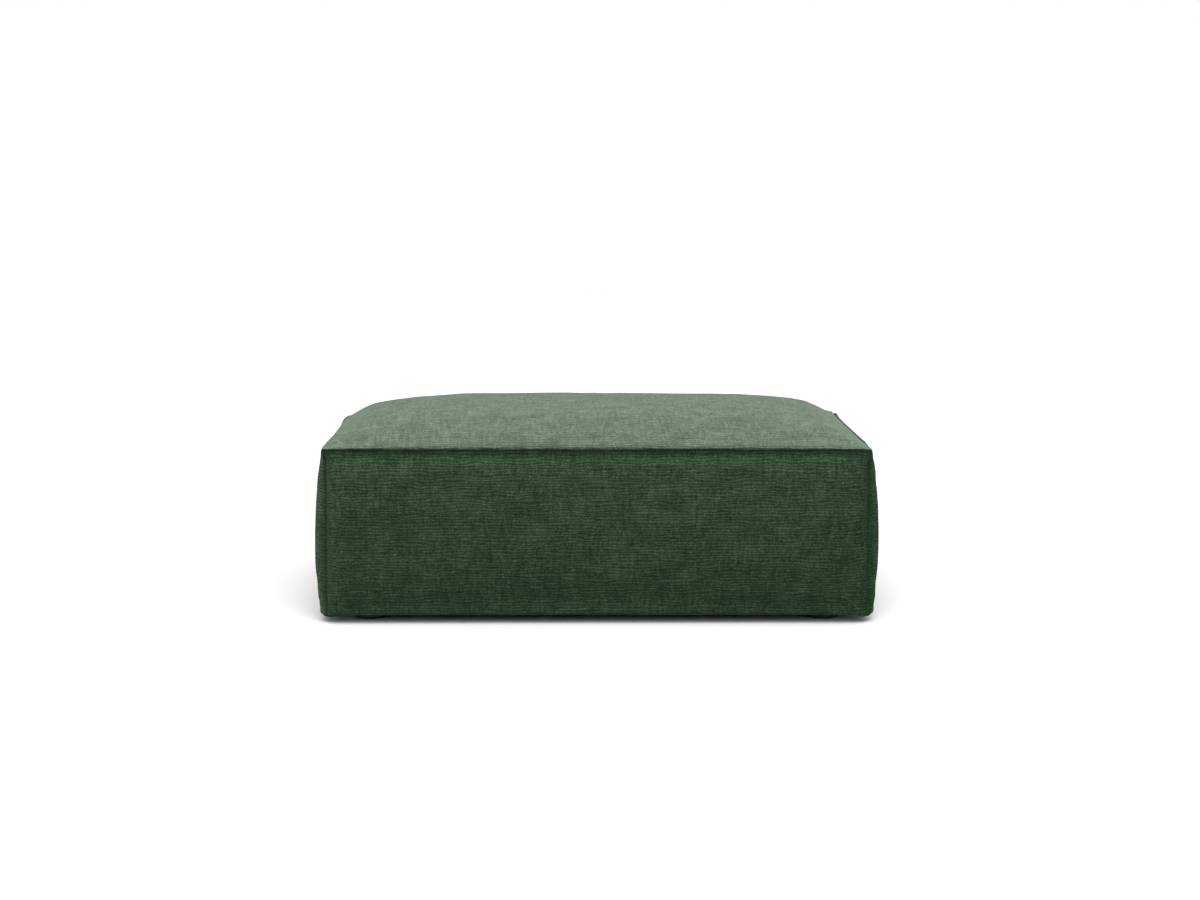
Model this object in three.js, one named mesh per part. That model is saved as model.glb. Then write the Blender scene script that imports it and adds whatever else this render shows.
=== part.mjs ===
// A low rectangular pouf: five padded cloth panels sewn edge to edge, a plain base cloth
// and four low round feet. Millimetres, +Z up, front at -Y, origin on the floor under the
// middle.

import * as THREE from 'three';
import { mergeVertices } from 'three/addons/utils/BufferGeometryUtils.js';

// Overall size
const WIDTH = 1088;
const DEPTH = 808;
const HEIGHT = 400;

// Heights above the floor, and the crown that the top panel adds to its seam
const HEM_HEIGHT = 17;
const CROWN = 63;

// Padding and seams of the side panels
const BULGE = 17;
const CORNER_DRAW_IN = 5;
const CORNER_DRAW_REACH = 45;
const CORNER_DROOP = 3.5;
const DROOP_REACH = 55;
const HEM_TUCK = 20;

// The top seam pulls in halfway along the left and right sides
const SIDE_PULL = 4.5;
const SIDE_PULL_REACH = 60;

// The top panel's rim swells out over its seam, and is back above it at RIM_HEIGHT
const RIM_SWELL = { left: 5.3, right: 0, ends: 4 };
const RIM_HEIGHT = 16;
const RIM_FOCUS = 9;

// Clearances between neighbouring pieces
const GAP = 0.3;
const PARTING = GAP / Math.SQRT2 + 0.01;

// Base cloth and feet
const BASE_THICKNESS = 1.5;
const BASE_INSET = 22;
const BASE_CORNER_RADIUS = 12;
const FOOT_RADIUS = 33;
const FOOT_TAPER = 1.5;
const FOOT_EDGE_RADIUS = 3;
const FOOT_INSET = 103;
const FOOT_SIDES = 32;
const ARC_STEPS = 3;

// Mesh steps across the panels
const STEPS = { wide: 34, deep: 28, high: 20, crownWide: 38, crownDeep: 32 };

// How a panel rises from each of its seams: a tight roll takes the first share of the
// height, and a slow swell takes the rest
const RISE = {
  corner: { roll: 14, share: 0.55, swell: 60, power: 2 },
  top: { roll: 10, share: 0.25, swell: 200, power: 2.4 },
  hem: { roll: 11, share: 0.55, swell: 90, power: 1.9 },
};

// How the crown falls towards each seam: a power curve, cut just short of its end so that
// it meets the seam at a slope. The ends are the front and the back.
const FALL = {
  left: { power: 3.9, root: 0.5, cut: 0.998 },
  right: { power: 4.8, root: 0.3, cut: 0.985 },
  ends: { power: 2.5, root: 0.5, cut: 0.995 },
};

// Where the filling under the top panel is slack, as a change of the crown's height
const SLACK = [
  { x: -500, y: 370, reachX: 70, reachY: 90, change: -0.6 },
  { x: -430, y: 300, reachX: 90, reachY: 120, change: -0.08 },
];

// Worked out from the sizes above
const SEAM_HEIGHT = HEIGHT - CROWN - GAP;
const SEAM_HALF_WIDTH = WIDTH / 2 - BULGE - PARTING;
const SEAM_HALF_DEPTH = DEPTH / 2 - BULGE - PARTING;
const BASE_TOP = HEM_HEIGHT - GAP;
const FOOT_HEIGHT = BASE_TOP - BASE_THICKNESS - GAP;

const clothMaterial = new THREE.MeshStandardMaterial({
  color: 0x3d553c,
  roughness: 0.95,
  metalness: 0,
});
const baseMaterial = new THREE.MeshStandardMaterial({
  color: 0x191a19,
  roughness: 0.95,
  metalness: 0,
});
const footMaterial = new THREE.MeshStandardMaterial({
  color: 0x101010,
  roughness: 0.5,
  metalness: 0,
});

// Fractions from -1 to 1 with steps that grow from the seams towards the middle
function spread(count) {
  const edgeShare = 0.1;
  const growth = 2.1;
  const fractions = [];
  for (let k = 0; k <= count; k += 1) {
    const even = (2 * k) / count - 1;
    const inward = 1 - Math.abs(even);
    const fromSeam = edgeShare * inward + (1 - edgeShare) * inward ** growth;
    fractions.push(Math.sign(even) * (1 - fromSeam));
  }
  return fractions;
}

function riseFrom(distance, seam) {
  const inRoll = 1 - Math.min(distance / seam.roll, 1);
  const inSwell = 1 - Math.min(distance / seam.swell, 1);
  const tight = Math.sqrt(1 - inRoll * inRoll);
  const slow = 1 - inSwell ** seam.power;
  return seam.share * tight + (1 - seam.share) * slow;
}

// From 1 at the middle of a panel to 0 at its seam
function fallTo(fraction, seam) {
  const atSeam = (1 - seam.cut ** seam.power) ** seam.root;
  const here = (1 - (seam.cut * Math.abs(fraction)) ** seam.power) ** seam.root;
  return (here - atSeam) / (1 - atSeam);
}

// Falls smoothly from 1 at no distance to 0 at the reach
function fade(distance, reach) {
  const left = 1 - Math.min(distance / reach, 1);
  return left * left * (3 - 2 * left);
}

function solid(name, points, faces, material) {
  const geometry = new THREE.BufferGeometry();
  geometry.setAttribute('position', new THREE.Float32BufferAttribute(points.flat(), 3));
  geometry.setIndex(faces.flat());
  geometry.computeVertexNormals();
  const mesh = new THREE.Mesh(geometry, material);
  mesh.name = name;
  return mesh;
}

// A side panel as it stands at the front. Its filling reaches back to mitre planes that
// run in from the corner seams at 45 degrees, where the neighbouring panels' filling starts.
// The pull is how far its top seam is drawn in halfway along.
function sidePanel(name, halfLength, seamDistance, pull, steps) {
  const acrossFractions = spread(steps);
  const upFractions = spread(STEPS.high);
  const wallHeight = SEAM_HEIGHT - HEM_HEIGHT;
  const points = [];
  for (const across of acrossFractions) {
    const tuckHalf = halfLength - HEM_TUCK;
    points.push([across * tuckHalf, HEM_TUCK - seamDistance, HEM_HEIGHT]);
    for (const up of upFractions) {
      points.push(wallPoint(across, up));
    }
  }

  function wallPoint(across, up) {
    const fromCorner = halfLength * (1 - Math.abs(across));
    const aboveHem = (wallHeight * (1 + up)) / 2;
    const belowSeam = wallHeight - aboveHem;
    const drawIn = CORNER_DRAW_IN * (1 - up * up) * fade(fromCorner, CORNER_DRAW_REACH);
    const droop = CORNER_DROOP * fade(fromCorner, DROOP_REACH) * fade(aboveHem, DROOP_REACH);
    const pulled = pull * (1 - across * across) * fade(belowSeam, SIDE_PULL_REACH);
    const fullness =
      riseFrom(fromCorner, RISE.corner) * riseFrom(belowSeam, RISE.top) * riseFrom(aboveHem, RISE.hem);
    return [
      across * halfLength - Math.sign(across) * drawIn,
      drawIn + pulled - seamDistance - BULGE * fullness,
      HEM_HEIGHT + aboveHem - droop,
    ];
  }

  const rows = upFractions.length + 1;
  const last = acrossFractions.length - 1;
  const at = (column, row) => column * rows + row;
  const ridgeHalf = halfLength - SEAM_HALF_DEPTH;
  const ridgeY = SEAM_HALF_DEPTH - seamDistance;
  const firstInner = points.length;
  const leftLow = firstInner;
  const leftHigh = firstInner + 1;
  points.push([-ridgeHalf, ridgeY, HEM_HEIGHT], [-ridgeHalf, ridgeY, SEAM_HEIGHT]);
  const hasRidge = ridgeHalf > GAP;
  if (hasRidge) {
    points.push([ridgeHalf, ridgeY, HEM_HEIGHT], [ridgeHalf, ridgeY, SEAM_HEIGHT]);
  }
  const rightLow = hasRidge ? firstInner + 2 : leftLow;
  const rightHigh = hasRidge ? firstInner + 3 : leftHigh;

  const faces = [];
  for (let i = 0; i < last; i += 1) {
    for (let j = 0; j < rows - 1; j += 1) {
      faces.push([at(i, j), at(i + 1, j), at(i + 1, j + 1)]);
      faces.push([at(i, j), at(i + 1, j + 1), at(i, j + 1)]);
    }
    faces.push([leftHigh, at(i, rows - 1), at(i + 1, rows - 1)]);
    faces.push([leftLow, at(i + 1, 0), at(i, 0)]);
  }
  for (let j = 0; j < rows - 1; j += 1) {
    faces.push([leftHigh, at(0, j), at(0, j + 1)]);
    faces.push([rightHigh, at(last, j + 1), at(last, j)]);
  }
  faces.push([leftHigh, leftLow, at(0, 0)]);
  faces.push([rightHigh, at(last, 0), rightLow]);
  if (hasRidge) {
    faces.push([leftHigh, at(last, rows - 1), rightHigh]);
    faces.push([leftLow, rightLow, at(last, 0)]);
    faces.push([leftLow, leftHigh, rightHigh]);
    faces.push([leftLow, rightHigh, rightLow]);
  }
  return solid(name, points, faces, clothMaterial);
}

// The top panel: a crown on a rectangular seam, with a flat underside
function topPanel() {
  const acrossFractions = spread(STEPS.crownWide);
  const alongFractions = spread(STEPS.crownDeep);
  const points = [];
  for (const across of acrossFractions) {
    for (const along of alongFractions) {
      points.push(crownPoint(across, along));
    }
  }

  function crownPoint(across, along) {
    const side = across < 0 ? 'left' : 'right';
    const x = across * SEAM_HALF_WIDTH;
    const y = along * SEAM_HALF_DEPTH;
    const rise = CROWN * fallTo(across, FALL[side]) * fallTo(along, FALL.ends) * fullness(x, y);
    const swell = Math.sin(Math.PI * Math.min(rise / RIM_HEIGHT, 1));
    const nearSide = Math.abs(across) ** RIM_FOCUS;
    const nearEnd = Math.abs(along) ** RIM_FOCUS;
    const outAcross = RIM_SWELL[side] * swell - SIDE_PULL * (1 - along * along);
    const outAlong = RIM_SWELL.ends * swell;
    return [
      x + Math.sign(across) * outAcross * nearSide,
      y + Math.sign(along) * outAlong * nearEnd,
      rise,
    ];
  }

  function fullness(x, y) {
    let full = 1;
    for (const spot of SLACK) {
      const away = ((x - spot.x) / spot.reachX) ** 2 + ((y - spot.y) / spot.reachY) ** 2;
      full += spot.change * Math.exp(-away);
    }
    return full;
  }

  const rows = alongFractions.length;
  const columns = acrossFractions.length;
  const at = (column, row) => column * rows + row;
  const middle = points.length;
  points.push([0, 0, 0]);
  const faces = [];
  for (let i = 0; i < columns - 1; i += 1) {
    for (let j = 0; j < rows - 1; j += 1) {
      faces.push([at(i, j), at(i + 1, j), at(i + 1, j + 1)]);
      faces.push([at(i, j), at(i + 1, j + 1), at(i, j + 1)]);
    }
    faces.push([middle, at(i + 1, 0), at(i, 0)]);
    faces.push([middle, at(i, rows - 1), at(i + 1, rows - 1)]);
  }
  for (let j = 0; j < rows - 1; j += 1) {
    faces.push([middle, at(0, j), at(0, j + 1)]);
    faces.push([middle, at(columns - 1, j + 1), at(columns - 1, j)]);
  }
  const mesh = solid('top_panel', points, faces, clothMaterial);
  mesh.position.z = SEAM_HEIGHT + GAP;
  return mesh;
}

// A thin rectangular sheet with rounded corners, under the filling
function baseCloth() {
  const halfX = SEAM_HALF_WIDTH - BASE_INSET;
  const halfY = SEAM_HALF_DEPTH - BASE_INSET;
  const radius = BASE_CORNER_RADIUS;
  const outline = new THREE.Shape();
  outline.moveTo(radius - halfX, -halfY);
  outline.lineTo(halfX - radius, -halfY);
  outline.absarc(halfX - radius, radius - halfY, radius, -Math.PI / 2, 0);
  outline.lineTo(halfX, halfY - radius);
  outline.absarc(halfX - radius, halfY - radius, radius, 0, Math.PI / 2);
  outline.lineTo(radius - halfX, halfY);
  outline.absarc(radius - halfX, halfY - radius, radius, Math.PI / 2, Math.PI);
  outline.lineTo(-halfX, radius - halfY);
  outline.absarc(radius - halfX, radius - halfY, radius, Math.PI, Math.PI * 1.5);
  const geometry = new THREE.ExtrudeGeometry(outline, {
    depth: BASE_THICKNESS,
    bevelEnabled: false,
    curveSegments: ARC_STEPS * 2,
  });
  const mesh = new THREE.Mesh(geometry, baseMaterial);
  mesh.name = 'base_cloth';
  mesh.position.z = BASE_TOP - BASE_THICKNESS;
  return mesh;
}

// A round foot with a softened lower edge and a slight taper
function foot(name, x, y) {
  const lowRadius = FOOT_RADIUS - FOOT_TAPER;
  const profile = [new THREE.Vector2(0, 0)];
  for (let k = 0; k <= ARC_STEPS; k += 1) {
    const turn = (Math.PI / 2) * (k / ARC_STEPS);
    const out = lowRadius - FOOT_EDGE_RADIUS * (1 - Math.sin(turn));
    profile.push(new THREE.Vector2(out, FOOT_EDGE_RADIUS * (1 - Math.cos(turn))));
  }
  profile.push(new THREE.Vector2(FOOT_RADIUS, FOOT_HEIGHT), new THREE.Vector2(0, FOOT_HEIGHT));
  const lathe = new THREE.LatheGeometry(profile, FOOT_SIDES);
  lathe.deleteAttribute('normal');
  lathe.deleteAttribute('uv');
  const geometry = mergeVertices(lathe, 1e-4);
  geometry.rotateX(Math.PI / 2);
  const mesh = new THREE.Mesh(geometry, footMaterial);
  mesh.name = name;
  mesh.position.set(x, y, 0);
  return mesh;
}

const pouf = new THREE.Group();
pouf.add(topPanel());

const frontPanel = sidePanel('front_panel', SEAM_HALF_WIDTH, SEAM_HALF_DEPTH, 0, STEPS.wide);
frontPanel.position.y = -PARTING;
pouf.add(frontPanel);

const backPanel = sidePanel('back_panel', SEAM_HALF_WIDTH, SEAM_HALF_DEPTH, 0, STEPS.wide);
backPanel.rotation.z = Math.PI;
backPanel.position.y = PARTING;
pouf.add(backPanel);

const leftPanel = sidePanel('left_panel', SEAM_HALF_DEPTH, SEAM_HALF_WIDTH, SIDE_PULL, STEPS.deep);
leftPanel.rotation.z = -Math.PI / 2;
leftPanel.position.x = -PARTING;
pouf.add(leftPanel);

const rightPanel = sidePanel('right_panel', SEAM_HALF_DEPTH, SEAM_HALF_WIDTH, SIDE_PULL, STEPS.deep);
rightPanel.rotation.z = Math.PI / 2;
rightPanel.position.x = PARTING;
pouf.add(rightPanel);

pouf.add(baseCloth());

const footX = WIDTH / 2 - FOOT_INSET;
const footY = DEPTH / 2 - FOOT_INSET;
pouf.add(foot('foot_front_left', -footX, -footY));
pouf.add(foot('foot_front_right', footX, -footY));
pouf.add(foot('foot_back_left', -footX, footY));
pouf.add(foot('foot_back_right', footX, footY));

export default pouf;
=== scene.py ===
# Dresses the pouf in metres: five padded cloth panels, the base cloth and the feet, with
# the floor, the light and the camera of a plain studio picture.

import math

import bpy
import numpy as np
from mathutils import Matrix, Vector


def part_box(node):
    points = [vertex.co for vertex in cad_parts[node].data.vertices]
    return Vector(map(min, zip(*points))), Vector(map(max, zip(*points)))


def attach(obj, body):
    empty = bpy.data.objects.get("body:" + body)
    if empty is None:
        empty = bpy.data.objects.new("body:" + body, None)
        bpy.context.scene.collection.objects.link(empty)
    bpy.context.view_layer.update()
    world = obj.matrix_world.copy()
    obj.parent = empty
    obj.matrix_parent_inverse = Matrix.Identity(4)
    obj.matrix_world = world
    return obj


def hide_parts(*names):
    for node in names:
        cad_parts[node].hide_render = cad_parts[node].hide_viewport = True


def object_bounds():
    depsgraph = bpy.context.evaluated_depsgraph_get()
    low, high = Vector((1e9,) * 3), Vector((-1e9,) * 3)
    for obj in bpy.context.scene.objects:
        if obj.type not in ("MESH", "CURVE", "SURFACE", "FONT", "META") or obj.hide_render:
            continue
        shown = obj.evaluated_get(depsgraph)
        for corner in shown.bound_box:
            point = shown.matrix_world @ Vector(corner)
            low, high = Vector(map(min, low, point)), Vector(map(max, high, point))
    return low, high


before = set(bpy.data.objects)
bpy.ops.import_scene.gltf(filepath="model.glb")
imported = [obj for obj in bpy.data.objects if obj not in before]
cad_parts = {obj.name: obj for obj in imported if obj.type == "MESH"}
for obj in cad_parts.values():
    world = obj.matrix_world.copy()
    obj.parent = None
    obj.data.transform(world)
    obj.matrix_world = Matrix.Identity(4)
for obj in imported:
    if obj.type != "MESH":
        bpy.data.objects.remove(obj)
cad_low, cad_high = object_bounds()

# The hem ends this far above the base cloth
HEM_GAP = 0.0003

# Places read from the frame
SEAM_HALF_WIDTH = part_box("front_panel")[1].x
SEAM_HALF_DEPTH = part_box("left_panel")[1].y
SEAM_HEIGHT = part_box("front_panel")[1].z
HEM_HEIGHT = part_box("base_cloth")[1].z + HEM_GAP
CROWN = cad_high.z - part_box("top_panel")[0].z
BULGE = cad_high.x - SEAM_HALF_WIDTH
WALL_HEIGHT = SEAM_HEIGHT - HEM_HEIGHT

# A hair's breadth between panels that are sewn together
SEAM_GAP = 0.00005

# Keeps a division by a length of nothing from failing
TINY = 1e-12

# Side panels: how far the hem droops at the corners, how far it is tucked under, and how
# far the short panels' top edge is pulled in along its middle
CORNER_DROOP = 0.0038
DROOP_REACH = 0.055
HEM_TUCK = 0.020
SIDE_PULL = {"left": 0.0045, "right": 0.0092}
SIDE_PULL_POWER = 4
SIDE_PULL_REACH = 0.060

# How a side panel rises from its seams: a tight roll that has its share of the whole, and
# a wide swell for the rest
RISE = {
    "corner": {"roll": 0.022, "share": 0.50, "swell": 0.055, "power": 2.0},
    "top": {"roll": 0.010, "share": 0.25, "swell": 0.200, "power": 2.4},
    "hem": {"roll": 0.006, "share": 0.56, "swell": 0.095, "power": 1.4},
}

# The seams between side panels are drawn in to a straight narrow valley, which is
# shallower where it meets the top seam
VALLEY = 0.0075
VALLEY_ROLL = 0.013
VALLEY_CLOSING = 0.6
VALLEY_END = 0.022

# Below the long panels' top seam a flat border lies in the shade of the top panel's lip
BORDER = 0.0075
BORDER_ROLL = 0.0260

# The short panels' shoulders stand out past the top panel's edge: evenly on the right, and
# in a puffed ear beside the back corner on the left. Place, reach and end are ways from
# the back corner, and lift is the rise for each metre that the shoulder stands out
SHOULDERS = {
    "left": {"even": 0.0, "ear": 0.0105, "place": 0.100, "reach": 0.150, "end": 0.045, "lift": 0.60},
    "right": {"even": 0.0052, "ear": 0.0004, "place": 0.080, "reach": 0.050, "end": 0.050, "lift": 1.0},
}
SHOULDER_ROLL = 0.005
SHOULDER_REACH = 0.045
SHOULDER_START = 0.160

# The sides' fullness beside the plain bulge
FULLNESS = {"front": 1.0, "back": 1.0, "left": 0.99, "right": 1.07}

# Where the cover is drawn in at the back left corner, puffed out beside the front left one
# and drawn in at the tip of the front right one
DENTS = [
    {"place": (-0.527, 0.387, 0.337), "reach": (0.050, 0.170, 0.022), "shift": (0.013, 0.0, -0.006)},
    {"place": (-0.527, -0.310, 0.346), "reach": (0.025, 0.090, 0.016), "shift": (-0.0035, 0.0, 0.0)},
    {"place": (0.529, -0.390, 0.338), "reach": (0.012, 0.012, 0.005), "shift": (-0.0018, 0.0, -0.0008)},
]

# Top panel: its lip's radius, steps round it, its overhang in front and behind, and how far
# from a corner it is full
LIP = 0.0012
LIP_STEPS = 4
LIP_OVERHANG = 0.0040
LIP_CORNER = 0.030

# The rim is the crown's lowest part. What shapes it falls off inward with this power
RIM_HEIGHT = 0.016
RIM_FOCUS = 9

# How the crown falls to its seams: a power curve, cut just short of its end
FALL = {
    "left": {"power": 4.3, "root": 0.5, "cut": 0.998},
    "right": {"power": 4.3, "root": 0.34, "cut": 0.985},
    "ends": {"power": 2.5, "root": 0.5, "cut": 0.988},
}

# Spots where the crown is slacker or fuller than that curve
SLACK = [
    {"x": -0.50, "y": 0.37, "reach_x": 0.07, "reach_y": 0.09, "change": -0.78},
    {"x": -0.43, "y": 0.30, "reach_x": 0.09, "reach_y": 0.12, "change": -0.08},
    {"x": 0.50, "y": -0.35, "reach_x": 0.040, "reach_y": 0.060, "change": 0.18},
]

# Two small folds of the top panel that run along its left edge from the front corner and
# bend away from it
FOLDS = [
    {"from_side": 0.0105, "bend": 0.0170, "start": -0.380, "turn": -0.215, "height": 0.0013},
    {"from_side": 0.0180, "bend": 0.0120, "start": -0.345, "turn": -0.260, "height": 0.0006},
]
FOLD_TURN_REACH = 0.100
FOLD_START_REACH = 0.03
FOLD_WIDTH = 0.0030
FOLD_LIFT = 3

# Unevenness of the filling and small puckers beside the seams
LUMPS = [{"cell": 0.090, "height": 0.0007}, {"cell": 0.028, "height": 0.00022}]
PUCKER_CELL = 0.011
PUCKER_HEIGHT = 0.0002
PUCKER_REACH = 0.022

# Mesh steps: coarse for the cloth simulation, fine for the finished panels. The edge share
# is 1 for even steps and less for steps that are closer together beside the seams
COARSE_STEP = 0.011
FINE_STEP = 0.0042
COARSE_EDGE_SHARE = 0.8
FINE_EDGE_SHARE = 0.55
EDGE_POWER = 1.25

# Cloth simulation. The relief that it gives is capped, and fades out beside the seams
CLOTH_FRAMES = 20
CLOTH_PRESSURE = 4.0
CLOTH_SLACK = 0.0015
CLOTH_STIFFNESS = 60
CLOTH_BENDING = 0.5
CLOTH_MASS = 0.3
CLOTH_QUALITY = 5
CLOTH_AIR_DAMPING = 2
CLOTH_CAP = 0.0028
CLOTH_SEAM_REACH = 0.030


def spread(length, step, edge_share):
    """Fractions from -1 to 1 along a panel, closer together beside its seams."""
    count = 2 * round(length / step / 2)
    even = np.linspace(-1, 1, count + 1)
    inward = 1 - np.abs(even)
    from_seam = edge_share * inward + (1 - edge_share) * inward**EDGE_POWER
    return np.sign(even) * (1 - from_seam)


def round_over(share):
    """Rises from 0 at no share to 1 at the whole, as a quarter circle does."""
    left = 1 - np.clip(share, 0, 1)
    return np.sqrt(1 - left * left)


def rise_from(distance, seam, soft=False):
    """From 0 at a seam to 1 past its swell. A soft roll leaves the seam without a step."""
    in_swell = 1 - np.clip(distance / seam["swell"], 0, 1)
    tight = 1 - fade(distance, seam["roll"]) if soft else round_over(distance / seam["roll"])
    return seam["share"] * tight + (1 - seam["share"]) * (1 - in_swell ** seam["power"])


def rise_past_border(below_seam):
    """The rise below a long panel's top seam: flat at first, then a soft shoulder."""
    seam = RISE["top"]
    in_swell = 1 - np.clip((below_seam - BORDER) / seam["swell"], 0, 1)
    shoulder = 1 - fade(below_seam - BORDER, BORDER_ROLL)
    return seam["share"] * shoulder + (1 - seam["share"]) * (1 - in_swell ** seam["power"])


def fall_to(fraction, seam):
    """From 1 at the middle of a panel to 0 at its seam."""
    at_seam = (1 - seam["cut"] ** seam["power"]) ** seam["root"]
    here = (1 - (seam["cut"] * np.abs(fraction)) ** seam["power"]) ** seam["root"]
    return (here - at_seam) / (1 - at_seam)


def fade(distance, reach):
    """Falls smoothly from 1 at no distance to 0 at the reach."""
    left = 1 - np.clip(distance / reach, 0, 1)
    return left * left * (3 - 2 * left)


def shoulder_of(side, across, below_seam, half_length):
    """How far a short panel's shoulder stands out beside the top seam, and up."""
    if side not in SHOULDERS:
        return 0.0, 0.0
    size = SHOULDERS[side]
    toward_back = across if side == "right" else -across
    from_back = half_length * (1 - toward_back)
    from_front = half_length * (1 + toward_back)
    even = size["even"] * (1 - fade(from_front, SHOULDER_START))
    ear = size["ear"] * np.exp(-(((from_back - size["place"]) / size["reach"]) ** 2))
    out = (even + ear) * (1 - fade(from_back, size["end"]))
    out = out * round_over(below_seam / SHOULDER_ROLL) * fade(below_seam, SHOULDER_REACH)
    return out, size["lift"] * out


def wall_surface(side, across, up, half_length, seam_distance):
    """Points of a side panel's outer face, as it stands at the front, and its way to a seam."""
    across, up = np.meshgrid(across, up, indexing="ij")
    short = side in SIDE_PULL
    from_corner = (half_length - VALLEY) * (1 - np.abs(across))
    above_hem = WALL_HEIGHT * (1 + up) / 2
    below_seam = WALL_HEIGHT - above_hem
    droop = CORNER_DROOP * fade(from_corner, DROOP_REACH) * fade(above_hem, DROOP_REACH)
    pulled = SIDE_PULL.get(side, 0) * (1 - across**SIDE_PULL_POWER) * fade(below_seam, SIDE_PULL_REACH)
    full = rise_from(from_corner, RISE["corner"], soft=True) * rise_from(above_hem, RISE["hem"])
    full = full * (rise_from(below_seam, RISE["top"]) if short else rise_past_border(below_seam))
    drawn = VALLEY * (1 - VALLEY_CLOSING * fade(below_seam, VALLEY_END))
    valley = drawn * (1 - round_over(from_corner / VALLEY_ROLL))
    shoulder, lift = shoulder_of(side, across, below_seam, half_length)
    x = across * (half_length - drawn)
    y = valley + pulled - seam_distance - BULGE * FULLNESS[side] * full - shoulder
    z = HEM_HEIGHT + above_hem - droop + lift
    to_seam = np.minimum(np.minimum(from_corner, below_seam), above_hem)
    return np.stack([x, y, z], -1), to_seam


def folds_of(x, y):
    """How high the top panel's small folds stand at a place."""
    height = 0.0
    for fold in FOLDS:
        past_turn = np.clip((y - fold["turn"]) / FOLD_TURN_REACH, 0, 1)
        crest = fold["from_side"] + fold["bend"] * past_turn**2 - SEAM_HALF_WIDTH
        strength = (1 - fade(y - fold["start"], FOLD_START_REACH)) * fade(past_turn, 1)
        height = height + fold["height"] * strength * np.exp(-(((x - crest) / FOLD_WIDTH) ** 2))
    return height


def drawn_in(points):
    """The points after the cover's dents."""
    for dent in DENTS:
        away = ((points - np.array(dent["place"])) / np.array(dent["reach"])) ** 2
        points = points + np.exp(-away.sum(-1))[..., None] * np.array(dent["shift"])
    return points


def crown_surface(across, along):
    """Points of the top panel's outer face, and their way to the seam.

    Fractions past 1 run round the lip and back under it to the seam."""
    across, along = np.meshgrid(across, along, indexing="ij")
    under_x = np.clip(np.abs(across) - 1, 0, 1) * math.pi / 2
    under_y = np.clip(np.abs(along) - 1, 0, 1) * math.pi / 2
    across = np.clip(across, -1, 1)
    along = np.clip(along, -1, 1)
    x = across * SEAM_HALF_WIDTH
    y = along * SEAM_HALF_DEPTH
    side_fall = np.where(across < 0, fall_to(across, FALL["left"]), fall_to(across, FALL["right"]))
    full = 1.0
    for spot in SLACK:
        away = ((x - spot["x"]) / spot["reach_x"]) ** 2 + ((y - spot["y"]) / spot["reach_y"]) ** 2
        full = full + spot["change"] * np.exp(-away)
    rise = (CROWN - LIP) * side_fall * fall_to(along, FALL["ends"]) * full
    from_side = SEAM_HALF_WIDTH * (1 - np.abs(across))
    from_end = SEAM_HALF_DEPTH * (1 - np.abs(along))
    lip_x = LIP * (1 - fade(from_end, LIP_CORNER)) * np.cos(under_x) * fade(rise, RIM_HEIGHT)
    lip_y = LIP_OVERHANG * (1 - fade(from_side, LIP_CORNER)) * np.cos(under_y) * fade(rise, RIM_HEIGHT)
    side_pull = np.where(across < 0, SIDE_PULL["left"], SIDE_PULL["right"])
    out_x = (lip_x - side_pull * (1 - along**SIDE_PULL_POWER)) * np.abs(across) ** RIM_FOCUS
    out_y = lip_y * np.abs(along) ** RIM_FOCUS
    lip = LIP * (1 - np.sin(under_x)) * (1 - np.sin(under_y))
    rise = rise + folds_of(x, y) * np.minimum(rise / RIM_HEIGHT * FOLD_LIFT, 1)
    place = [x + np.sign(across) * out_x, y + np.sign(along) * out_y, SEAM_HEIGHT + SEAM_GAP + lip + rise]
    return np.stack(place, -1), np.minimum(from_side, from_end)


def with_lip(fractions):
    """Adds the rows that run round the lip past both ends."""
    past = 1 + np.arange(1, LIP_STEPS + 1) / LIP_STEPS
    return np.concatenate([-past[::-1], fractions, past])


def grid_faces(columns, rows):
    """Quads of a grid whose points run row by row within each column."""
    corner = np.arange(columns * rows).reshape(columns, rows)
    quads = [corner[:-1, :-1], corner[1:, :-1], corner[1:, 1:], corner[:-1, 1:]]
    return np.stack([q.ravel() for q in quads], -1).tolist()


def edge_loop(columns, rows):
    """The points round the edge of such a grid, against the clock."""
    corner = np.arange(columns * rows).reshape(columns, rows)
    loop = corner[:, 0].tolist() + corner[-1, 1:].tolist()
    return loop + corner[-2::-1, -1].tolist() + corner[0, -2:0:-1].tolist()


def add_object(name, data):
    added = bpy.data.objects.new(name, data)
    bpy.context.scene.collection.objects.link(added)
    return added


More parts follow.
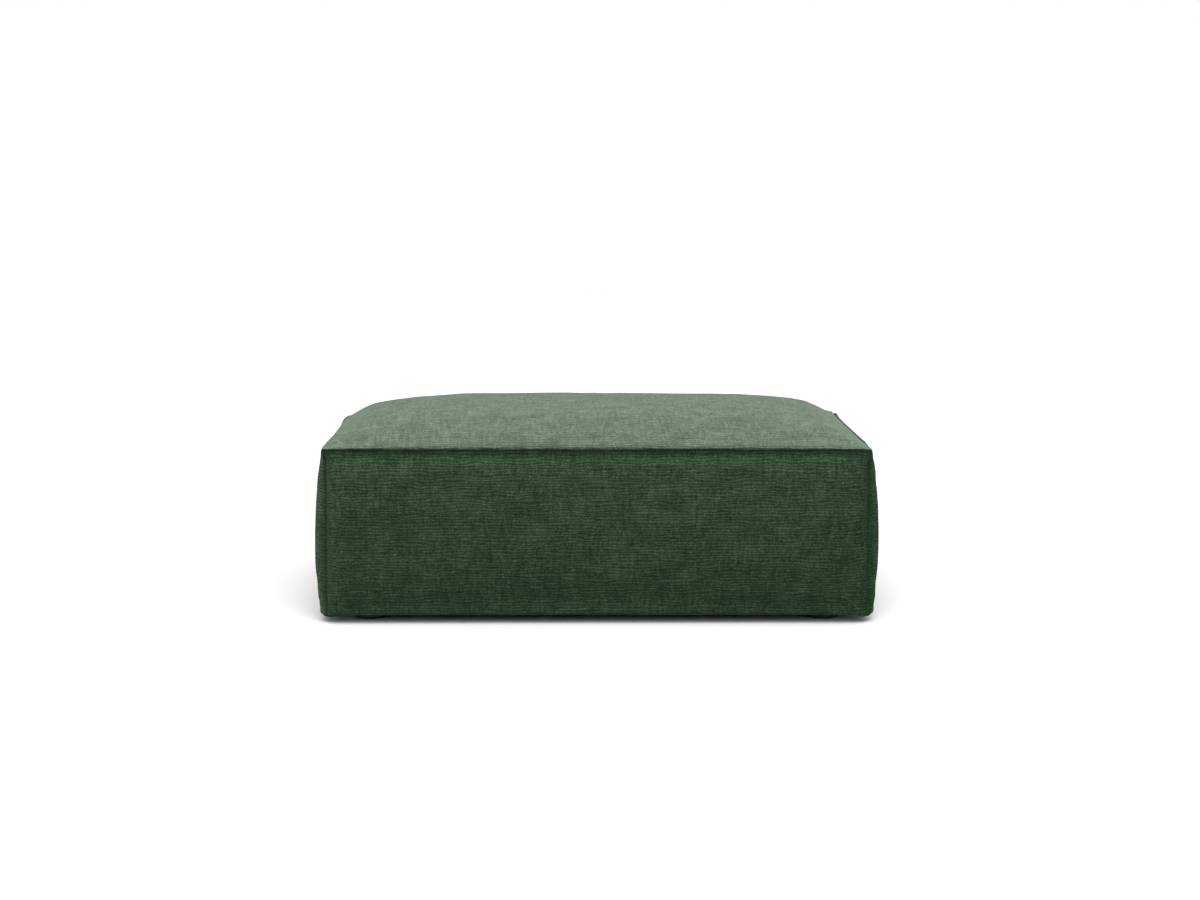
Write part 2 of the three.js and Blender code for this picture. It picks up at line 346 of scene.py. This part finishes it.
def settle_cloth(points):
    """Blows a sheet with pinned edges up a little, and gives how far each point moved."""
    columns, rows = points.shape[:2]
    mesh = bpy.data.meshes.new("settling")
    mesh.from_pydata(points.reshape(-1, 3).tolist(), [], grid_faces(columns, rows))
    sheet = add_object("settling", mesh)
    edge = np.zeros((columns, rows), bool)
    edge[[0, -1], :] = True
    edge[:, [0, -1]] = True
    pins = sheet.vertex_groups.new(name="pins")
    pins.add(np.flatnonzero(edge).tolist(), 1.0, "REPLACE")
    cloth = sheet.modifiers.new("cloth", "CLOTH")
    settings = cloth.settings
    settings.vertex_group_mass = "pins"
    settings.effector_weights.gravity = 0
    settings.use_pressure = True
    settings.uniform_pressure_force = CLOTH_PRESSURE
    settings.shrink_min = -CLOTH_SLACK
    settings.mass = CLOTH_MASS
    settings.quality = CLOTH_QUALITY
    settings.tension_stiffness = CLOTH_STIFFNESS
    settings.compression_stiffness = CLOTH_STIFFNESS
    settings.bending_stiffness = CLOTH_BENDING
    settings.air_damping = CLOTH_AIR_DAMPING
    cloth.collision_settings.use_collision = False
    cloth.collision_settings.use_self_collision = False
    cloth.point_cache.frame_start = 1
    cloth.point_cache.frame_end = CLOTH_FRAMES
    scene = bpy.context.scene
    for step in range(1, CLOTH_FRAMES + 1):
        scene.frame_set(step)
    settled = sheet.evaluated_get(bpy.context.evaluated_depsgraph_get())
    found = np.zeros(columns * rows * 3, np.float32)
    settled.data.vertices.foreach_get("co", found)
    moved = found.reshape(points.shape) - points
    bpy.data.objects.remove(sheet)
    bpy.data.meshes.remove(mesh)
    scene.frame_set(1)
    length = np.linalg.norm(moved, axis=-1, keepdims=True)
    return moved * np.minimum(1, CLOTH_CAP / np.maximum(length, TINY))


def smooth_weights(fine, coarse):
    """Catmull-Rom weights that carry values at the coarse fractions over to the fine ones."""
    place = np.interp(fine, coarse, np.arange(len(coarse)))
    base = np.minimum(place.astype(int), len(coarse) - 2)
    t = place - base
    weights = np.zeros((len(fine), len(coarse)))
    parts = [
        (-1, 0.5 * (-t + 2 * t**2 - t**3)),
        (0, 0.5 * (2 - 5 * t**2 + 3 * t**3)),
        (1, 0.5 * (t + 4 * t**2 - 3 * t**3)),
        (2, 0.5 * (-(t**2) + t**3)),
    ]
    for shift, part in parts:
        column = np.clip(base + shift, 0, len(coarse) - 1)
        np.add.at(weights, (np.arange(len(fine)), column), part)
    return weights


def noise_on(first, second, lengths, cell, random):
    """Smooth noise over a grid, with a new height about every cell's width."""
    values = []
    for fractions, length in zip((first, second), lengths):
        knots = np.linspace(-1, 1, max(4, round(length / cell)) + 1)
        values.append(smooth_weights(np.clip(fractions, -1, 1), knots))
    heights = random.standard_normal((values[0].shape[1], values[1].shape[1]))
    return values[0] @ heights @ values[1].T


def normals_of(points):
    """Unit vectors that stand on a grid of points."""
    normal = np.cross(np.gradient(points, axis=0), np.gradient(points, axis=1))
    return normal / np.maximum(np.linalg.norm(normal, axis=-1, keepdims=True), TINY)


def panel_surface(make, lengths, seed, lip):
    """A panel's fine outer face: its drawn shape with the cloth simulation's relief, the
    filling's lumps and the seams' puckers on it. The drawn shape has its full size already,
    so the simulation's even share of swelling is taken off."""
    first, second = [spread(length, FINE_STEP, FINE_EDGE_SHARE) for length in lengths]
    if lip:
        first, second = with_lip(first), with_lip(second)
    points, to_seam = make(first, second)
    relief = np.zeros(points.shape)
    coarse = [spread(length, COARSE_STEP, COARSE_EDGE_SHARE) for length in lengths]
    settled = settle_cloth(make(*coarse)[0])
    carry = [smooth_weights(np.clip(f, -1, 1), c) for f, c in zip((first, second), coarse)]
    relief = np.einsum("ai,bj,ijk->abk", carry[0], carry[1], settled, optimize=True)
    swollen = (relief * normals_of(points)).sum(-1).mean()
    relief = relief - swollen * normals_of(points)
    relief = relief * (1 - fade(to_seam, CLOTH_SEAM_REACH))[..., None]
    random = np.random.default_rng(seed)
    height = np.zeros(to_seam.shape)
    for lump in LUMPS:
        height += lump["height"] * noise_on(first, second, lengths, lump["cell"], random)
    height = height * (1 - fade(to_seam, PUCKER_REACH))
    pucker = PUCKER_HEIGHT * noise_on(first, second, lengths, PUCKER_CELL, random)
    beside = fade(to_seam, PUCKER_REACH) * (1 - fade(to_seam, PUCKER_REACH / 3))
    height = height + pucker * beside
    return first, points + relief + normals_of(points) * height[..., None]


def new_piece(name, vertices, faces, smooth_count):
    """A mesh object whose first faces are smooth and whose hidden ones are flat."""
    mesh = bpy.data.meshes.new(name)
    mesh.from_pydata(vertices, [], faces)
    smooth = np.zeros(len(faces), bool)
    smooth[:smooth_count] = True
    mesh.polygons.foreach_set("use_smooth", smooth)
    mesh.validate()
    return add_object(name, mesh)


def wall_piece(side, half_length, seam_distance, turn, seed):
    """A side panel with its filling back to the mitre planes, turned to its side.

    Its outer face goes on round the hem to a tuck, and flat faces close it behind."""

    def make(across, up):
        return wall_surface(side, across, up, half_length, seam_distance)

    across, points = panel_surface(make, (2 * half_length, WALL_HEIGHT), seed, lip=False)
    columns, rows = points.shape[:2]
    grid = columns * rows
    faces = grid_faces(columns, rows)
    ridge_half = half_length - SEAM_HALF_DEPTH
    ridge_y = SEAM_HALF_DEPTH - seam_distance
    tuck_half = half_length - HEM_TUCK
    tuck = [(a * tuck_half, HEM_TUCK - seam_distance, HEM_HEIGHT) for a in across]
    inner = [(x, ridge_y, z) for x in (-ridge_half, ridge_half) for z in (HEM_HEIGHT, SEAM_HEIGHT)]
    left_low, left_high, right_low, right_high = range(grid + columns, grid + columns + 4)
    first_tuck, last_tuck = grid, grid + columns - 1

    def at(column, row):
        return column * rows + row

    for i in range(columns - 1):
        faces.append([grid + i, grid + i + 1, at(i + 1, 0), at(i, 0)])
    smooth_count = len(faces)
    last = columns - 1
    faces.append([left_high] + [at(i, rows - 1) for i in range(columns)] + [right_high])
    faces.append([left_low, right_low] + [grid + i for i in range(last, -1, -1)])
    faces.append([left_high, left_low, first_tuck] + [at(0, j) for j in range(rows)])
    faces.append([right_low, right_high] + [at(last, j) for j in range(rows - 1, -1, -1)] + [last_tuck])
    faces.append([left_low, left_high, right_high, right_low])
    vertices = points.reshape(-1, 3).tolist() + tuck + inner
    placed = drawn_in(np.array(vertices) @ np.array(Matrix.Rotation(turn, 3, "Z")).T)
    return new_piece(f"{side}_cushion", placed.tolist(), faces, smooth_count)


def crown_piece(seed):
    """The top panel with a flat underside."""
    lengths = (2 * SEAM_HALF_WIDTH, 2 * SEAM_HALF_DEPTH)
    points = panel_surface(crown_surface, lengths, seed, lip=True)[1]
    columns, rows = points.shape[:2]
    faces = grid_faces(columns, rows)
    smooth_count = len(faces)
    faces.append(edge_loop(columns, rows)[::-1])
    return new_piece("top_cushion", drawn_in(points).reshape(-1, 3).tolist(), faces, smooth_count)


# Materials


class Shader:
    """A short way to place and link nodes in one material."""

    def __init__(self, name):
        self.material = bpy.data.materials.new(name)
        self.material.use_nodes = True
        self.tree = self.material.node_tree
        self.base = self.tree.nodes["Principled BSDF"]

    def node(self, kind, links=None, **settings):
        node = self.tree.nodes.new(kind)
        for key, value in settings.items():
            setattr(node, key, value)
        for key, value in (links or {}).items():
            self.put(node.inputs[key], value)
        return node

    def put(self, socket, value):
        if isinstance(value, bpy.types.NodeSocket):
            self.tree.links.new(value, socket)
        else:
            socket.default_value = value

    def math(self, operation, first, second=0.0):
        return self.node("ShaderNodeMath", {0: first, 1: second}, operation=operation).outputs[0]

    def noise(self, place, detail=2.0, roughness=0.5, distortion=0.0):
        links = {"Vector": place, "Scale": 1.0, "Detail": detail, "Roughness": roughness}
        links["Distortion"] = distortion
        return self.node("ShaderNodeTexNoise", links).outputs["Fac"]

    def spread(self, value, low, high, start=0.0):
        """Carries a band of values to a start and on to 1."""
        links = {"Value": value, "From Min": low, "From Max": high, "To Min": start}
        return self.node("ShaderNodeMapRange", links).outputs["Result"]

    def scaled(self, place, sizes):
        """The place measured in lengths of the given sizes."""
        scale = tuple(1 / size for size in sizes)
        return self.node("ShaderNodeVectorMath", {0: place, 1: scale}, operation="MULTIPLY").outputs[0]

    def mixed(self, share, dark, light):
        """The dark colour at no share and the light one at the whole."""
        mix = self.node("ShaderNodeMix", data_type="RGBA")
        self.put(mix.inputs["Factor"], share)
        self.put(mix.inputs["A"], (*dark, 1))
        self.put(mix.inputs["B"], (*light, 1))
        return mix.outputs["Result"]

    def relief(self, height, distance, strength):
        links = {"Height": height, "Distance": distance, "Strength": strength}
        return self.node("ShaderNodeBump", links).outputs[0]

    def look(self, **inputs):
        """Sets the surface's inputs, whose names are written with an underscore for a space."""
        for name, value in inputs.items():
            self.put(self.base.inputs[name.replace("_", " ")], value)
        return self.material


# Cloth colours: the shadowed ground of the weave and the lit tips of its chenille yarn
CLOTH_DARK = (0.0088, 0.0202, 0.0085)
CLOTH_LIGHT = (0.0570, 0.0925, 0.0556)

# The top panel is greyer than the sides, in painted sheen that stands in for the shine of its
# lit pile. Painted shade darkens the sides beside the corner seams and beside the long and
# short panels' top seams, and darkens them towards the hem
TOP_PAINTED_SHEEN_TINT = (0.78, 0.665, 0.79)
SEAM_SHADE = {"corner": 0.70, "long": 0.30, "short": 0.62}
SEAM_SHADE_REACH = {"corner": 0.020, "long": 0.010, "short": 0.016}
HEM_SHADE = 0.20

# The top's upright pile shines when seen along it, the sides' hanging pile hardly does
SHEEN = {"top": 0.110, "side": 0.010}
SHEEN_ROUGHNESS = 0.60
SHEEN_TINT = (0.89, 1.0, 0.87, 1)
CLOTH_ROUGHNESS = 0.9

# The weave's ribs: their spacing, how much the slubs in them show, and how far they drift
RIB_SPACING = 0.0057
RIB_WEIGHT = 0.33
RIB_DRIFT = 14.0
DRIFT_CELL = (0.060, 0.018, 0.018)

# The weave's other threads and unevenness: the cell along the weft, along the warp and off
# the cloth, the noise's detail and roughness, and the weight in the tone
THREADS = {
    "streak": {"cell": (0.034, 0.0046, 0.0046), "detail": 1.0, "rough": 0.5, "weight": 0.34},
    "slub": {"cell": (0.011, 0.0036, 0.0036), "detail": 1.0, "rough": 0.5, "weight": 0.30},
    "warp": {"cell": (0.0058, 0.040, 0.040), "detail": 1.0, "rough": 0.5, "weight": 0.5},
    "patch": {"cell": (0.045, 0.030, 0.030), "detail": 3.0, "rough": 0.6, "weight": 0.60},
    "grain": {"cell": (0.0029, 0.0042, 0.0042), "detail": 2.0, "rough": 0.7, "weight": 1.50},
}

# The tone of the whole weave: its middle, its curve and its contrast
TONE_MIDDLE = 0.42
TONE_POWER = 1.45
CONTRAST = {"top": 1.35, "side": 1.0}

# Relief of the weave in the shading
WEAVE_HEIGHT = 0.0008
WEAVE_STRENGTH = 0.8
WEAVE_GRAIN = 0.8


def cloth_material(name, run, rise, out, half_run=None, side=None):
    """Chenille weave. Run, rise and out are the axes along the weft, along the warp and off
    the cloth. A side panel gives its half length and whether it's a long or a short one."""
    s = Shader(name)
    kind = "side" if side else "top"
    axes = s.node("ShaderNodeSeparateXYZ", {0: s.node("ShaderNodeTexCoord").outputs["Object"]})
    turned = {"X": axes.outputs[run], "Y": axes.outputs[rise], "Z": axes.outputs[out]}
    place = s.node("ShaderNodeCombineXYZ", turned).outputs[0]
    drift = s.noise(s.scaled(place, DRIFT_CELL), 1.0, 0.5)
    noises = {
        thread: s.noise(s.scaled(place, how["cell"]), how["detail"], how["rough"])
        for thread, how in THREADS.items()
    }
    across = s.math("DIVIDE", axes.outputs[rise], RIB_SPACING / math.tau)
    rib = s.math("SINE", s.math("ADD", across, s.math("MULTIPLY", drift, RIB_DRIFT)))

    def centred(thread, weight=None):
        weight = weight or THREADS[thread]["weight"]
        return s.math("MULTIPLY", s.math("SUBTRACT", noises[thread], 0.5), weight)

    def added(*values):
        total = values[0]
        for value in values[1:]:
            total = s.math("ADD", total, value)
        return total

    ribbed = s.math("MULTIPLY", rib, s.math("MULTIPLY", noises["slub"], RIB_WEIGHT))
    threads = added(ribbed, centred("streak"), centred("slub"), centred("warp"))
    uneven = added(threads, centred("patch"), centred("grain"))
    tone = added(s.math("MULTIPLY", uneven, CONTRAST[kind]), TONE_MIDDLE)
    shaped = s.math("POWER", s.math("MAXIMUM", tone, 0.0), TONE_POWER)
    colours = [CLOTH_DARK, CLOTH_LIGHT]
    if side:
        # Painted shade: the pile is darkened beside the corner seams and below the top seam
        from_corner = s.math("SUBTRACT", half_run, s.math("ABSOLUTE", axes.outputs[run]))
        below_seam = s.math("SUBTRACT", SEAM_HEIGHT, axes.outputs[rise])
        shades = [
            s.spread(from_corner, 0.0, SEAM_SHADE_REACH["corner"], 1 - SEAM_SHADE["corner"]),
            s.spread(below_seam, 0.0, SEAM_SHADE_REACH[side], 1 - SEAM_SHADE[side]),
            s.spread(axes.outputs[rise], HEM_HEIGHT, SEAM_HEIGHT, 1 - HEM_SHADE),
        ]
        shaped = s.math("MULTIPLY", shaped, s.math("MINIMUM", shades[0], shades[1]))
        # Painted shade: the sides are darker towards the hem
        shaped = s.math("MULTIPLY", shaped, shades[2])
    else:
        # Painted sheen: the top's colours are greyed to stand in for the shine of its lit pile
        colours = [[a * b for a, b in zip(colour, TOP_PAINTED_SHEEN_TINT)] for colour in colours]
    height = added(threads, centred("grain", WEAVE_GRAIN))
    return s.look(
        Base_Color=s.mixed(s.math("MINIMUM", shaped, 1.0), *colours),
        Normal=s.relief(height, WEAVE_HEIGHT, WEAVE_STRENGTH),
        Roughness=CLOTH_ROUGHNESS,
        Specular_IOR_Level=0.0,
        Sheen_Weight=SHEEN[kind],
        Sheen_Roughness=SHEEN_ROUGHNESS,
        Sheen_Tint=SHEEN_TINT,
    )


# Felted black cloth under the pouf: cells of its fibres and its clouds, the share of the
# fibres in the tone, and the band of the tone between the two colours
FIBRE_CELL = (0.0015, 0.006, 0.006)
FIBRE_TWIST = 1.5
FIBRE_SHARE = 0.7
CLOUD_CELL = (0.06, 0.06, 0.06)
FELT_BAND = (0.3, 0.7)
FELT_COLOURS = [(0.006, 0.006, 0.0065), (0.022, 0.022, 0.023)]
FELT_HEIGHT = 0.0004
FELT_STRENGTH = 0.7
FELT_ROUGHNESS = 0.95


def base_material():
    s = Shader("base_cloth_black")
    place = s.node("ShaderNodeTexCoord").outputs["Object"]
    fibres = s.math("MULTIPLY", s.noise(s.scaled(place, FIBRE_CELL), 4.0, 0.7, FIBRE_TWIST), FIBRE_SHARE)
    clouds = s.math("MULTIPLY", s.noise(s.scaled(place, CLOUD_CELL), 3.0, 0.6), 1 - FIBRE_SHARE)
    tone = s.math("ADD", fibres, clouds)
    return s.look(
        Base_Color=s.mixed(s.spread(tone, *FELT_BAND), *FELT_COLOURS),
        Normal=s.relief(tone, FELT_HEIGHT, FELT_STRENGTH),
        Roughness=FELT_ROUGHNESS,
    )


# Black plastic of the feet: cells of its moulded grain and its scuffs, the band of the
# scuffs between the two colours, and the roughness without and with the grain's share
GRAIN_CELL = (0.0007, 0.0007, 0.0007)
GRAIN_HEIGHT = 0.0001
GRAIN_STRENGTH = 0.5
SCUFF_CELL = (0.02, 0.02, 0.006)
SCUFF_BAND = (0.35, 0.75)
PLASTIC_COLOURS = [(0.004, 0.004, 0.004), (0.012, 0.012, 0.012)]
PLASTIC_ROUGHNESS = 0.38
GRAIN_ROUGHNESS = 0.2


def foot_material():
    s = Shader("foot_black_plastic")
    place = s.node("ShaderNodeTexCoord").outputs["Object"]
    grain = s.noise(s.scaled(place, GRAIN_CELL), 3.0, 0.6)
    scuff = s.noise(s.scaled(place, SCUFF_CELL), 4.0, 0.7)
    return s.look(
        Base_Color=s.mixed(s.spread(scuff, *SCUFF_BAND), *PLASTIC_COLOURS),
        Normal=s.relief(grain, GRAIN_HEIGHT, GRAIN_STRENGTH),
        Roughness=s.math("ADD", s.math("MULTIPLY", grain, GRAIN_ROUGHNESS), PLASTIC_ROUGHNESS),
    )


# The base cloth's sag, thickness, rounded corners and steps of its grid. Its edge is
# straight up to a share of its half depth
BASE_SAG = 0.00135
BASE_THICKNESS = 0.0012
BASE_CORNER = 0.012
BASE_STRAIGHT = 0.9667
BASE_STEPS = (60, 44)


def base_piece():
    """The base cloth: a thin sheet, stapled at its edge and slack between the feet."""
    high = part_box("base_cloth")[1]
    u, v = np.meshgrid(*[np.linspace(-1, 1, steps + 1) for steps in BASE_STEPS], indexing="ij")
    in_corner = np.clip((np.abs(v) - BASE_STRAIGHT) / (1 - BASE_STRAIGHT), 0, 1)
    round_x = BASE_CORNER * (1 - np.sqrt(1 - in_corner**2))
    x = u * (high.x - round_x)
    y = v * high.y
    waves = 1 + 0.3 * np.sin(9 * u + 2 * v) * np.cos(7 * v)
    top = high.z - BASE_SAG * (1 - u**4) * (1 - v**4) * waves
    upper = np.stack([x, y, top], -1).reshape(-1, 3)
    under = np.stack([x, y, top - BASE_THICKNESS], -1).reshape(-1, 3)
    columns, rows = u.shape
    count = columns * rows
    faces = grid_faces(columns, rows)
    faces += [[a + count for a in face[::-1]] for face in grid_faces(columns, rows)]
    smooth_count = len(faces)
    loop = edge_loop(columns, rows)
    for a, b in zip(loop, loop[1:] + loop[:1]):
        faces.append([b, a, a + count, b + count])
    return new_piece("base_sheet", np.concatenate([upper, under]).tolist(), faces, smooth_count)


# A foot's outline from its sole to its top, as shares of its widest radius and its height
FOOT_OUTLINE = [(0.45, 0.0), (0.80, 0.0), (0.905, 0.005), (0.94, 0.06), (0.955, 0.2)]
FOOT_OUTLINE += [(0.965, 0.5), (0.975, 0.8), (0.985, 0.93), (0.965, 1.0)]
FOOT_WIDEST = 0.985
FOOT_TURNS = 96


def foot_piece(node):
    """A moulded foot: a round puck with soft edges."""
    low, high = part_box(node)
    middle = (low + high) / 2
    radius = (high.x - low.x) / 2 / FOOT_WIDEST
    vertices = []
    faces = []
    for share, up in FOOT_OUTLINE:
        for k in range(FOOT_TURNS):
            angle = math.tau * k / FOOT_TURNS
            x = middle.x + share * radius * math.cos(angle)
            y = middle.y + share * radius * math.sin(angle)
            vertices.append((x, y, low.z + up * (high.z - low.z)))
    last_ring = (len(FOOT_OUTLINE) - 1) * FOOT_TURNS
    for start in range(0, last_ring, FOOT_TURNS):
        for k in range(FOOT_TURNS):
            here, after = start + k, start + (k + 1) % FOOT_TURNS
            faces.append([here, after, after + FOOT_TURNS, here + FOOT_TURNS])
    smooth_count = len(faces)
    faces.append(list(range(FOOT_TURNS - 1, -1, -1)))
    faces.append([last_ring + k for k in range(FOOT_TURNS)])
    return new_piece(node.replace("foot", "glide"), vertices, faces, smooth_count)


def dress(piece, material, slot, *nodes):
    """Gives a piece its cloth or plastic, hides the parts that it stands for and hangs it on the root."""
    piece.data.materials.append(material)
    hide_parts(*nodes)
    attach(piece, "root")


def add_cushions():
    across_cloth = cloth_material("cloth_along_x", "X", "Z", "Y", SEAM_HALF_WIDTH, "long")
    side_cloth = cloth_material("cloth_along_y", "Y", "Z", "X", SEAM_HALF_DEPTH, "short")
    top_cloth = cloth_material("cloth_flat", "X", "Y", "Z")
    top = crown_piece(seed=11)
    dress(top, top_cloth, "upholstery", "top_panel")
    long_wall = (SEAM_HALF_WIDTH, SEAM_HALF_DEPTH + SEAM_GAP)
    short_wall = (SEAM_HALF_DEPTH, SEAM_HALF_WIDTH + SEAM_GAP)
    walls = [
        ("front", long_wall, 0.0, across_cloth, 12),
        ("back", long_wall, math.pi, across_cloth, 13),
        ("left", short_wall, -math.pi / 2, side_cloth, 14),
        ("right", short_wall, math.pi / 2, side_cloth, 15),
    ]
    for side, (half_length, seam_distance), turn, cloth, seed in walls:
        wall = wall_piece(side, half_length, seam_distance, turn, seed)
        dress(wall, cloth, "upholstery", f"{side}_panel")


def add_base_and_feet():
    sheet = base_piece()
    dress(sheet, base_material(), "base_cloth", "base_cloth")
    plastic = foot_material()
    for node in sorted(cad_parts):
        if node.startswith("foot"):
            dress(foot_piece(node), plastic, "feet", node)


# Camera: worked out from the corners of the pouf's seams in the picture
CAMERA_PLACE = Vector((-0.09295, -5.65705, 0.90851))
CAMERA_PITCH = 0.10814
CAMERA_YAW = 0.01843
CAMERA_ROLL = 0.00211
CAMERA_LENS = 83.2
CAMERA_SENSOR = 36


def add_camera():
    data = bpy.data.cameras.new("camera")
    data.lens = CAMERA_LENS
    data.sensor_width = CAMERA_SENSOR
    camera = add_object("camera", data)
    turn = Matrix.Rotation(-CAMERA_YAW, 4, "Z") @ Matrix.Rotation(math.pi / 2 - CAMERA_PITCH, 4, "X")
    turn = turn @ Matrix.Rotation(CAMERA_ROLL, 4, "Z")
    camera.matrix_world = Matrix.Translation(CAMERA_PLACE) @ turn
    bpy.context.scene.camera = camera


# Floor
FLOOR_HALF = 12.0
FLOOR_GREY = 0.50


def add_floor():
    corners = [(-FLOOR_HALF, -FLOOR_HALF, 0), (FLOOR_HALF, -FLOOR_HALF, 0)]
    corners += [(FLOOR_HALF, FLOOR_HALF, 0), (-FLOOR_HALF, FLOOR_HALF, 0)]
    floor = new_piece("floor", corners, [[0, 1, 2, 3]], 0)
    grey = (FLOOR_GREY, FLOOR_GREY, FLOOR_GREY, 1)
    matt = Shader("floor_white").look(Base_Color=grey, Roughness=1.0, Specular_IOR_Level=0.0)
    floor.data.materials.append(matt)
    return floor


# Light: a wide soft light overhead for the pouf, a low soft one from the front and a
# narrower one overhead for the floor, all in a white room. Height and turn are angles
KEY = {"energy": 14.5, "spread": 1.1, "height": 1.33, "turn": -2.4}
FLOOR_LIGHT = {"energy": 5.9, "spread": 0.9, "height": 0.62, "turn": 0.06}
SKY_LIGHT = {"energy": 1.1, "spread": 0.6, "height": 1.57, "turn": 0.0}
ROOM_STRENGTH = 1.0
LIGHT_DISTANCE = 4


def add_soft_light(name, energy, spread, height, turn, falls_on):
    """A soft light from far away that falls on the given pieces alone."""
    data = bpy.data.lights.new(name, "SUN")
    data.energy = energy
    data.angle = spread
    light = add_object(name, data)
    low = math.cos(height)
    toward = Vector((low * math.sin(turn), -low * math.cos(turn), math.sin(height)))
    light.location = toward * LIGHT_DISTANCE
    light.rotation_mode = "QUATERNION"
    light.rotation_quaternion = toward.to_track_quat("Z", "Y")
    lit = bpy.data.collections.new(f"lit_by_{name}")
    for piece in falls_on:
        lit.objects.link(piece)
    light.light_linking.receiver_collection = lit


def add_room():
    world = bpy.data.worlds.new("studio")
    world.use_nodes = True
    background = world.node_tree.nodes["Background"]
    background.inputs["Color"].default_value = (1, 1, 1, 1)
    background.inputs["Strength"].default_value = ROOM_STRENGTH
    scene = bpy.context.scene
    scene.world = world
    scene.view_settings.view_transform = "Standard"
    scene.view_settings.look = "None"


add_camera()
add_cushions()
add_base_and_feet()
pouf = [piece for piece in bpy.context.scene.objects if piece.type == "MESH"]
add_soft_light("softbox", **KEY, falls_on=pouf)
floor = add_floor()
add_soft_light("floor_light", **FLOOR_LIGHT, falls_on=[floor])
add_soft_light("sky_light", **SKY_LIGHT, falls_on=[floor])
add_room()
